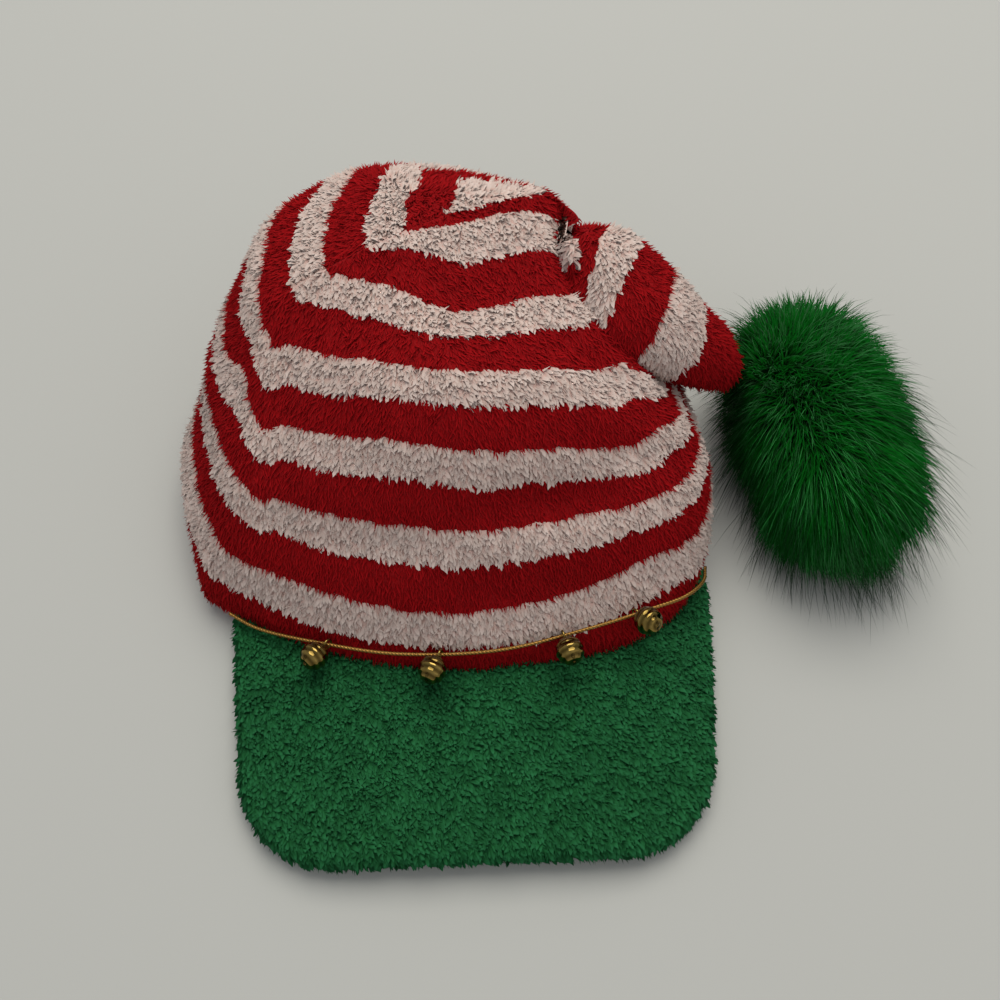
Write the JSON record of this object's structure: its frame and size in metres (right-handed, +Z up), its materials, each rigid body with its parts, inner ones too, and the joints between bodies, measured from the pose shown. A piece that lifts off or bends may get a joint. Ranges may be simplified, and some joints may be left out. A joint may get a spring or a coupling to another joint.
{
  "type": "pom-pom hat",
  "caption": "Soft striped fleece hat with a padded peak, a gilt cord of jingle bells above the peak, and a slouched tail that ends in a fur pompom.",
  "frame": {"origin": "middle of the bounding box's bottom, on the surface that the rim rests on", "axes": "+X towards the pompom, -Y towards the peak, +Z up"},
  "size_m": [0.305, 0.2726, 0.1047],
  "materials": {
    "striped_fleece": "matte",
    "green_pile": "matte",
    "green_fur": "satin",
    "gilt_cord": "satin",
    "brass_bells": "polished"
  },
  "bodies": {
    "root": {"crown": "striped_fleece", "peak": "green_pile", "bell_cord": "gilt_cord", "bell_1": "brass_bells", "bell_2": "brass_bells", "bell_3": "brass_bells", "bell_4": "brass_bells", "pom_pom": "green_fur"}
  },
  "joints": []
}
